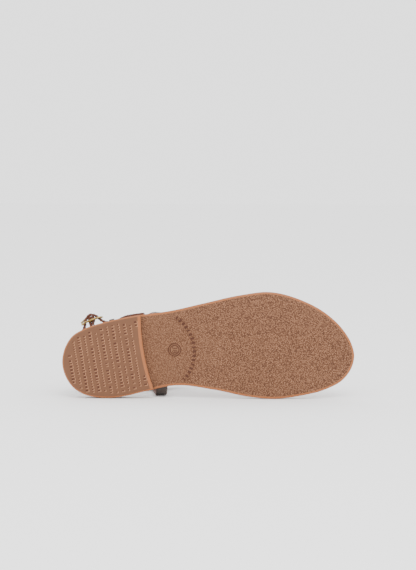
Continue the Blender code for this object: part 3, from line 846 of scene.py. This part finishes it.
def make_ankle_strap(buckle, materials):
    """The ankle strap with a slot for the prong. Gives its frames, and those at named places."""
    points, places = ankle_path(buckle)
    widths = []
    for point in points:
        reach = (point - points[-1]).length / (STRAP_WIDTH / 2)
        near_end = reach < 1 and len(widths) > len(points) / 2
        share = sqrt(1 - (1 - reach) ** 2) if near_end else 1.0
        widths.append(STRAP_WIDTH * max(share, TIP_SHARE))
    across = [loop_across(point) for point in points]
    made, frames = strap("ankle_strap", points, across, widths, STRAP_THICKNESS, materials)
    cutters = [bmesh.new(), bmesh.new()]
    prong(*cutters, buckle, CLEARANCE)
    carve(made, cutters)
    return frames, {name: frames[i] for name, i in places.items()}


def make_tab(name, ring, along, side, bulge, frame_at, materials):
    """A side tab from under the footbed up and over the ankle strap. Gives its frames."""
    control = tab_shape(ring, along, side, bulge, frame_at)
    points = smooth_curve(control, STRAP_STEPS)
    flat = len(ANCHOR)
    thick = [SKIVED_THICKNESS] * flat + [STRAP_THICKNESS] * (len(control) - flat)
    slope = Vector((1, 0, climb(along, STRAP_WIDTH / 2))).normalized()
    turned = frame_at[1] if frame_at[1].x > 0 else -frame_at[1]
    steps = len(TAB_SIDE)
    across = [slope] * flat + [slope.lerp(turned, i / steps) for i in range(steps + 1)]
    across += [turned] * (len(control) - len(across))
    return strap(name, points, spread(across, STRAP_STEPS), STRAP_WIDTH, spread(thick, STRAP_STEPS),
                 materials, flip=side < 0)[1]


def make_t_strap(frame_at, materials):
    """The T-strap: a narrow post that widens into the bar over the instep. Gives its frames."""
    foot = Vector((POST_ALONG, POST_SIDE, sole_top(POST_ALONG) + CLEARANCE))
    knee = Vector((POST_ALONG, POST_SIDE, sole_top(POST_ALONG) + POST_KNEE))
    bar = [
        Vector((along * SHOE_LENGTH, side * POST_SIDE, rise * INSTEP_HEIGHT))
        for along, side, rise in T_BAR
    ]
    control = [foot, knee] + bar + fold_over(frame_at)
    points = smooth_curve(control, STRAP_STEPS)
    widths = [POST_WIDTH + (STRAP_WIDTH - POST_WIDTH) * share for share in WIDENING]
    widths += [STRAP_WIDTH] * (len(control) - len(widths))
    post = WIDENING.count(0.0)
    thick = [POST_THICKNESS] * post + [STRAP_THICKNESS] * (len(control) - post)
    return strap("t_strap", points, Vector((0, 1, 0)), spread(widths, STRAP_STEPS),
                 spread(thick, STRAP_STEPS), materials, flip=True)[1]


def make_keeper(frame_at, materials):
    """The loop that holds the strap's tail."""
    centre, along, wide, out = frame_at
    layer = STRAP_THICKNESS + TAIL_PLAY
    middle = centre + out * layer / 2
    half_out = (STRAP_THICKNESS + layer + KEEPER_THICKNESS) / 2 + KEEPER_PLAY
    half_wide = (STRAP_WIDTH + KEEPER_THICKNESS) / 2 + KEEPER_PLAY
    points = [
        middle + out * a + wide * b for a, b in rounded_rectangle(half_out, half_wide, KEEPER_CORNER)
    ]
    strap("strap_keeper", points, along, KEEPER_WIDTH, KEEPER_THICKNESS, materials, closed=True,
          flip=True)


def make_buckle(buckle, brass):
    """The bowed frame with its bar, and the prong."""
    half_across = STRAP_WIDTH / 2 + BUCKLE_PLAY + ROD_RADIUS
    mesh = bmesh.new()
    points = []
    for a, b in rounded_rectangle(buckle.half, half_across, BUCKLE_CORNER):
        points.append(buckle.point(a, -BUCKLE_BOW * (a / buckle.half) ** 2, b))
    tube(mesh, points, ROD_RADIUS, True)
    tube(mesh, [buckle.point(0, 0, -half_across), buckle.point(0, 0, half_across)], BAR_RADIUS)
    add_piece("buckle_brass", mesh, [brass], ("buckle_frame",))

    mesh = bmesh.new()
    prong(mesh, mesh, buckle, 0.0)
    add_piece("prong_brass", mesh, [brass], ("buckle_prong",))


# Dashes, stamp and number
def dash(mesh, centre, first, second, out, length, width, height):
    """A low bar with sloping sides, lying on a face."""
    corners = ((-1, -1), (1, -1), (1, 1), (-1, 1))
    low = [centre + first * a * length / 2 + second * b * width / 2 - out * height for a, b in corners]
    slope = min(MARK_SLOPE, width / 3)
    high = [
        centre + first * a * (length / 2 - slope) + second * b * (width / 2 - slope) + out * height
        for a, b in corners
    ]
    below = add_ring(mesh, low)
    above = add_ring(mesh, high)
    bridge(mesh, below, above)
    mesh.faces.new(above)


def under(along, side, depth=0.0):
    """A place on the heel's ground face or on the outsole in front of it, or so far below it."""
    height = 0.0 if along < breast_line(side) else lift(along)
    return Vector((along, side, height - depth))


def on_heel(ring, place):
    """Whether a dash in this place keeps clear of the heel's edges."""
    if not MARK_BACK < place.x < breast_line(place.y) - MARK_MARGIN:
        return False
    lateral = edge_side(ring, place.x, -1) + MARK_MARGIN
    return lateral < place.y < edge_side(ring, place.x, 1) - MARK_MARGIN


def make_heel_marks(ring, material, rim_highlight):
    """Plain moulded dashes in slanted rows over the heel's face, wide and narrow rows in turn.

    Their dark colour is painted shade. A second, lower and paler dash under each one is a painted
    highlight along its rim."""
    mesh = bmesh.new()
    rims = bmesh.new()
    draws = random.Random(MARK_SEED)
    first = Vector((sin(ROW_TILT), cos(ROW_TILT), 0))
    second = Vector((cos(ROW_TILT), -sin(ROW_TILT), 0))
    shift = first * RIM_SHIFT[0] + second * RIM_SHIFT[1]
    for row in MARK_ROWS:
        widest, longest = MARK_SIZES[row % 2]
        start = Vector((MARK_START + row * ROW_PITCH, -HEEL_WIDTH / 2, 0))
        reach = 0.0
        while reach < ROW_LENGTH:
            length = draws.uniform(MARK_SHORTEST, longest)
            centre = start + first * (reach + length / 2)
            reach += length + (MARK_GAP if draws.random() < SHORT_GAP_SHARE else MARK_LONG_GAP)
            if on_heel(ring, centre):
                width = widest * draws.uniform(MARK_NARROWEST, 1.0)
                dash(mesh, centre, first, second, -UP, length, width, MARK_HEIGHT)
                dash(rims, centre + shift, first, second, -UP, length + RIM_GROWTH[0],
                     width + RIM_GROWTH[1], RIM_HEIGHT)
    add_piece("heel_marks", mesh, [material])
    add_piece("heel_mark_rim_highlights", rims, [rim_highlight])


def stamp_circle(share, depth=0.0):
    """A circle round the stamp's middle on the underside of the sole."""
    radius = STAMP_RADIUS * share
    return [
        under(STAMP[0] + radius * cos(t), STAMP[1] + radius * sin(t), depth)
        for t in full_turn(STAMP_STEPS)
    ]


def make_stamp_ground(material):
    """The smooth round ground under the size number."""
    mesh = bmesh.new()
    rim = [add_ring(mesh, stamp_circle(share, depth)) for depth, share in STAMP_GROUND]
    loft(mesh, rim)
    mesh.faces.new(rim[-1])
    add_piece("size_stamp_ground", mesh, [material])


def add_arc(mesh):
    """A plain arc of dashes in front of the stamp."""
    for i in range(ARC_COUNT):
        turn = radians(ARC_START + ARC_STEP * i)
        radial = Vector((cos(turn), sin(turn), 0))
        tangent = Vector((-sin(turn), cos(turn), 0))
        place = Vector((*ARC_CENTRE, 0)) + radial * ARC_RADIUS
        rise = Vector((0, 0, climb(place.x)))
        radial = (radial + rise * radial.x).normalized()
        tangent = (tangent + rise * tangent.x).normalized()
        length = ARC_LENGTH if i % ARC_SHORT_EVERY else ARC_SHORT_LENGTH
        dash(mesh, under(place.x, place.y), tangent, radial, tangent.cross(radial), length, ARC_WIDTH,
             ARC_HEIGHT)


def add_number(mesh):
    """The size number, laid on the slope of the sole."""
    text = bpy.data.curves.new("size_number", "FONT")
    text.body = SIZE_NUMBER
    text.size = NUMBER_SIZE
    text.extrude = NUMBER_DEPTH
    text.align_x = "CENTER"
    text.align_y = "CENTER"
    text.resolution_u = NUMBER_STEPS
    guide = add_object("size_number", text)
    graph = bpy.context.evaluated_depsgraph_get()
    number = bpy.data.meshes.new_from_object(guide.evaluated_get(graph))
    bpy.data.objects.remove(guide, do_unlink=True)
    across = Vector((0, 1, 0))
    up = Vector((1, 0, climb(STAMP[0], NUMBER_REACH))).normalized()
    turn = Matrix((across, up, across.cross(up))).transposed().to_4x4()
    turn.translation = under(*STAMP)
    number.transform(turn)
    mesh.from_mesh(number)


def make_size_stamp(material):
    """The ringed size number under the waist, and the arc in front of it, dark as painted shade."""
    mesh = bmesh.new()
    for share in STAMP_RINGS:
        tube(mesh, stamp_circle(share), RING_RADIUS, True, RING_SIDES)
    add_arc(mesh)
    add_number(mesh)
    bmesh.ops.triangulate(mesh, faces=mesh.faces)
    add_piece("size_stamp", mesh, [material])


# Seams
def stitch(mesh, centre, along, out, length, radius):
    """One stitch: a short thread that dips into the leather at both ends."""
    wide = along.cross(out)
    rings = []
    for share, rise, size in STITCH:
        middle = centre + along * length * share + out * radius * rise
        rings.append(add_circle(mesh, middle, wide, out, radius * size, THREAD_SIDES))
    loft(mesh, rings)


def paced(path, pitch):
    """Even steps along a line: the number of the span, and how far along the span, for each."""
    reach = 0.0
    for i, (point, ahead) in enumerate(zip(path, path[1:])):
        step = (ahead - point).length
        while reach < step:
            yield i, reach / step
            reach += pitch
        reach -= step


def strap_seams(name, frames, material, bare):
    """Rows of stitches along both edges of a strap, on its face and on its lining."""
    mesh = bmesh.new()
    stitched = frames[bare[0]:len(frames) - bare[1] + 1]
    path = [point for point, *_ in stitched]
    for i, share in paced(path, SEAM_PITCH):
        _, along, wide, out = stitched[i]
        middle = path[i].lerp(path[i + 1], share)
        for edge in (-1, 1):
            for face in (-1, 1):
                centre = middle + wide * edge * (STRAP_WIDTH / 2 - SEAM_INSET)
                centre = centre + out * face * STRAP_THICKNESS / 2
                stitch(mesh, centre, along, out * face, STITCH_LENGTH, THREAD_RADIUS)
    add_piece(name, mesh, [material])


def make_bed_seam(ring, material):
    """A row of stitches round the footbed."""
    path = inset_ring(ring, each(INSOLE_INSET + BED_SEAM_INSET, len(ring)))
    path.append(path[0])
    mesh = bmesh.new()
    for i, share in paced(path, BED_SEAM_PITCH):
        flat = path[i].lerp(path[i + 1], share)
        step = path[i + 1] - path[i]
        slope = climb(flat.x)
        centre = Vector((flat.x, flat.y, sole_top(flat.x) + CLEARANCE + INSOLE_THICKNESS))
        along = Vector((step.x, step.y, slope * step.x)).normalized()
        out = Vector((-slope, 0, 1)).normalized()
        stitch(mesh, centre, along, out, BED_STITCH_LENGTH, BED_THREAD_RADIUS)
    add_piece("footbed_seam", mesh, [material])


# Materials
def rgb(red, green, blue):
    """A colour as it is seen on a screen, 0 to 255, turned into the renderer's linear values."""
    values = []
    for channel in (red, green, blue):
        share = channel / 255.0
        values.append(share / 12.92 if share <= 0.04045 else ((share + 0.055) / 1.055) ** 2.4)
    return (values[0], values[1], values[2], 1.0)


class Finish:
    """A material and short ways to add its nodes."""

    def __init__(self, name, roughness, metal=0.0, coat=0.0, shine=0.5):
        self.material = bpy.data.materials.new(name)
        self.material.use_nodes = True
        self.tree = self.material.node_tree
        self.shader = self.tree.nodes["Principled BSDF"]
        self.set("Roughness", roughness)
        self.set("Metallic", metal)
        self.set("Coat Weight", coat)
        self.set("Specular IOR Level", shine)
        self.where = self.tree.nodes.new("ShaderNodeTexCoord").outputs["Object"]

    def feed(self, socket, value):
        """Links another node's output to a socket, or sets a plain value there."""
        if isinstance(value, bpy.types.NodeSocket):
            self.tree.links.new(value, socket)
        else:
            socket.default_value = value

    def add(self, kind, **inputs):
        node = self.tree.nodes.new(kind)
        for name, value in inputs.items():
            self.feed(node.inputs[name.replace("_", " ")], value)
        return node

    def noise(self, scale, detail=3.0):
        return self.add("ShaderNodeTexNoise", Vector=self.where, Scale=scale, Detail=detail,
                        Roughness=0.55).outputs["Fac"]

    def cells(self, scale, where=None):
        """Distance from the middle of the nearest of many small cells."""
        node = self.add("ShaderNodeTexVoronoi", Vector=where or self.where, Scale=scale)
        return node.outputs["Distance"]

    def ramp(self, value, stops):
        """A colour for each value, read between the stops."""
        node = self.add("ShaderNodeValToRGB", Fac=value)
        ramp = node.color_ramp
        while len(ramp.elements) < len(stops):
            ramp.elements.new(0.5)
        for element, (place, colour) in zip(ramp.elements, stops):
            element.position = place
            element.color = colour
        return node.outputs["Color"]

    def mix(self, share, first, second):
        node = self.tree.nodes.new("ShaderNodeMix")
        node.data_type = "RGBA"
        for index, value in ((0, share), (6, first), (7, second)):
            self.feed(node.inputs[index], value)
        return node.outputs[2]

    def math(self, kind, first, second):
        node = self.tree.nodes.new("ShaderNodeMath")
        node.operation = kind
        for index, value in enumerate((first, second)):
            self.feed(node.inputs[index], value)
        return node.outputs[0]

    def bump(self, height, distance, strength, below=None):
        """A surface that rises and falls, on top of another one if it is given."""
        node = self.add("ShaderNodeBump", Height=height, Distance=distance, Strength=strength)
        if below:
            self.tree.links.new(below, node.inputs["Normal"])
        return node.outputs["Normal"]

    def set(self, name, value):
        """Feeds one input of the surface itself."""
        self.feed(self.shader.inputs[name], value)

    def colour(self, value):
        self.set("Base Color", value)


def pebbled_sole():
    """Moulded grain: raised pebbles of uneven shape, with painted highlight on top and painted shade
    between.
    """
    made = Finish("pebbled_sole", 0.5, shine=0.2)
    warp = made.add("ShaderNodeTexNoise", Vector=made.where, Scale=700.0, Detail=2.0).outputs["Color"]
    shift = made.tree.nodes.new("ShaderNodeVectorMath")
    shift.operation = "MULTIPLY_ADD"
    for socket, value in zip(shift.inputs, (warp, [PEBBLE_WARP] * 3, made.where)):
        made.feed(socket, value)
    cells = made.cells(PEBBLE_SCALE, shift.outputs["Vector"])
    along = made.add("ShaderNodeSeparateXYZ", Vector=made.where).outputs["X"]
    calm = made.add("ShaderNodeMapRange", Value=along, From_Min=-0.050, From_Max=0.020, To_Min=0.7,
                    To_Max=0.25).outputs["Result"]
    broad = made.math("MULTIPLY", made.noise(38, 3), calm)
    # Painted highlight on the middle of each pebble and painted shade towards the valleys between them.
    lit_tops_shaded_valleys = made.ramp(cells, (
        (0.08, rgb(178, 127, 94)), (0.34, rgb(126, 87, 62)), (0.66, rgb(75, 46, 30))))
    made.colour(made.mix(broad, lit_tops_shaded_valleys, rgb(124, 86, 62)))
    made.set("Roughness", made.ramp(cells, ((0.1, (0.42, 0.42, 0.42, 1)), (0.6, (0.7, 0.7, 0.7, 1)))))
    made.set("Normal", made.bump(made.math("SUBTRACT", 1.0, cells), 0.0008, 0.8))
    return made.material


def smooth_sole(name, colour, shade, bump=0.25):
    """A moulded face without pebbles."""
    made = Finish(name, 0.5, shine=0.25)
    broad = made.noise(90, 4)
    fine = made.noise(900, 2)
    made.colour(made.mix(broad, colour, shade))
    made.set("Normal", made.bump(fine, 0.0002, bump))
    return made.material


def leather(name, colour, shade, scale, roughness, coat=0.0):
    """Fine pores over soft folds, in a colour that wanders towards its shade."""
    made = Finish(name, roughness, coat=coat, shine=0.3)
    grain = made.cells(scale)
    broad = made.noise(120, 4)
    made.colour(made.mix(made.math("MULTIPLY", broad, 0.8), colour, shade))
    folds = made.bump(broad, 0.0008, 0.3)
    made.set("Normal", made.bump(grain, 0.00025, 0.5, folds))
    return made.material


def cut_edge(name, colour, shade):
    """The painted cut edge of a strap: a smooth coat over layers that still show as fine lines."""
    made = Finish(name, 0.5, shine=0.3)
    fine = made.noise(700, 4)
    made.colour(made.mix(fine, colour, shade))
    made.set("Normal", made.bump(fine, 0.00025, 0.5))
    return made.material


def thread(name, colour):
    """Dull twisted yarn."""
    made = Finish(name, 0.75)
    made.colour(made.mix(made.noise(2500, 2), colour, rgb(40, 26, 20)))
    made.set("Normal", made.bump(made.noise(5000, 1), 0.0001, 0.5))
    return made.material


def brass_metal():
    """Polished brass with dull stains."""
    made = Finish("aged_brass", 0.34, metal=1.0)
    stains = made.noise(300, 4)
    made.colour(made.ramp(stains, ((0.35, rgb(128, 104, 62)), (0.62, rgb(178, 150, 92)))))
    made.set("Roughness", made.math("MULTIPLY", stains, 0.7))
    made.set("Normal", made.bump(made.noise(1400, 2), 0.0001, 0.3))
    return made.material


# Camera, floor and light
def make_camera():
    """The camera, square to the sole."""
    data = bpy.data.cameras.new("camera")
    data.sensor_fit = "VERTICAL"
    data.sensor_height = SENSOR_HEIGHT
    data.lens = SENSOR_HEIGHT * VIEW_DISTANCE / VIEW_HEIGHT
    camera = add_object("camera", data)
    place = Matrix.Translation((VIEW_ALONG, VIEW_SIDE, -VIEW_DISTANCE))
    camera.matrix_world = SHOE @ place @ Matrix.Rotation(pi, 4, "X")
    return camera


def make_floor():
    """A pale matte floor that reaches far past the picture."""
    mesh = bpy.data.meshes.new("floor")
    corners = ((-1, -1), (1, -1), (1, 1), (-1, 1))
    mesh.from_pydata([(FLOOR_REACH * a, FLOOR_REACH * b, 0.0) for a, b in corners], [], [(0, 1, 2, 3)])
    made = Finish("pale_floor", 0.85)
    made.colour(made.mix(made.noise(3), rgb(252, 252, 252), rgb(250, 250, 250)))
    mesh.materials.append(made.material)
    return add_object("floor", mesh)


def make_world():
    """Even white light from all sides."""
    world = bpy.data.worlds.new("studio")
    world.use_nodes = True
    background = world.node_tree.nodes["Background"]
    background.inputs["Color"].default_value = (1.0, 1.0, 1.0, 1.0)
    background.inputs["Strength"].default_value = WORLD_STRENGTH
    return world


def make_key_light():
    """A square lamp in front of the sole and above it."""
    data = bpy.data.lights.new("key_light", "AREA")
    data.shape = "SQUARE"
    data.size = KEY_SIZE
    data.energy = KEY_POWER
    light = add_object("key_light", data)
    light.location = KEY_PLACE
    light.rotation_euler = (Vector(KEY_AIM) - Vector(KEY_PLACE)).to_track_quat("-Z", "Y").to_euler()


bpy.context.scene.camera = make_camera()
make_floor()
bpy.context.scene.world = make_world()
make_key_light()

pebbles = pebbled_sole()
# The border's lighter colour is a painted highlight along the rounded edges of sole and heel.
border_highlight = smooth_sole("sole_border_highlight", rgb(150, 91, 53), rgb(140, 84, 49))
side_wall = smooth_sole("sole_edge", rgb(130, 80, 48), rgb(114, 68, 41), 0.5)
heel_face = smooth_sole("heel_face", rgb(105, 69, 46), rgb(96, 62, 41))
# Dark marks: painted shade standing in for the relief of the moulded dashes, rings and number.
shaded_mark = smooth_sole("sole_marks_painted_shade", rgb(76, 40, 22), rgb(66, 35, 19))
bed_top = leather("footbed_top", rgb(122, 74, 44), rgb(108, 64, 38), 700, 0.5)
bed_edge = leather("footbed_edge", rgb(88, 50, 30), rgb(76, 44, 27), 900, 0.7)
strap_top = leather("strap_face", rgb(60, 50, 45), rgb(48, 40, 35), 800, 0.42, 0.15)
strap_edge = cut_edge("strap_cut_edge", rgb(104, 54, 36), rgb(64, 38, 28))
strap_lining = leather("strap_lining", rgb(94, 52, 35), rgb(80, 44, 30), 900, 0.65)
seam_thread = thread("strap_thread", rgb(62, 46, 38))
bed_thread = thread("footbed_thread", rgb(150, 112, 78))
brass = brass_metal()
strap_set = [strap_top, strap_edge, strap_lining]

ring = outline_ring()
make_outsole(ring, [pebbles, border_highlight, side_wall])
make_heel(ring, [heel_face, border_highlight, side_wall])
# Paler rims under the dashes: painted highlight.
make_heel_marks(ring, shaded_mark, smooth_sole("painted_rim_highlights", rgb(156, 110, 78), rgb(142, 98, 69)))
make_stamp_ground(smooth_sole("stamp_ground", rgb(120, 83, 57), rgb(112, 76, 52)))
# The stamp's rings, arc and number take the dark marks of painted shade.
make_size_stamp(shaded_mark)
make_insole(ring, [bed_top, bed_edge])
make_bed_seam(ring, bed_thread)
buckle = Buckle()
ankle_frames, places = make_ankle_strap(buckle, strap_set)
strap_seams("ankle_seam", ankle_frames, seam_thread, ANKLE_BARE)
tabs = (
    ("medial_tab", MEDIAL_TAB_ALONG, 1, MEDIAL_TAB_BULGE),
    ("lateral_tab", LATERAL_TAB_ALONG, -1, LATERAL_TAB_BULGE),
)
for name, along, side, bulge in tabs:
    frames = make_tab(name, ring, along, side, bulge, places[name.replace("_", " ")], strap_set)
    strap_seams(name + "_seam", frames, seam_thread, TAB_BARE)
frames = make_t_strap(places["front"], strap_set)
strap_seams("t_strap_seam", frames, seam_thread, T_STRAP_BARE)
make_keeper(places["keeper"], strap_set)
make_buckle(buckle, brass)

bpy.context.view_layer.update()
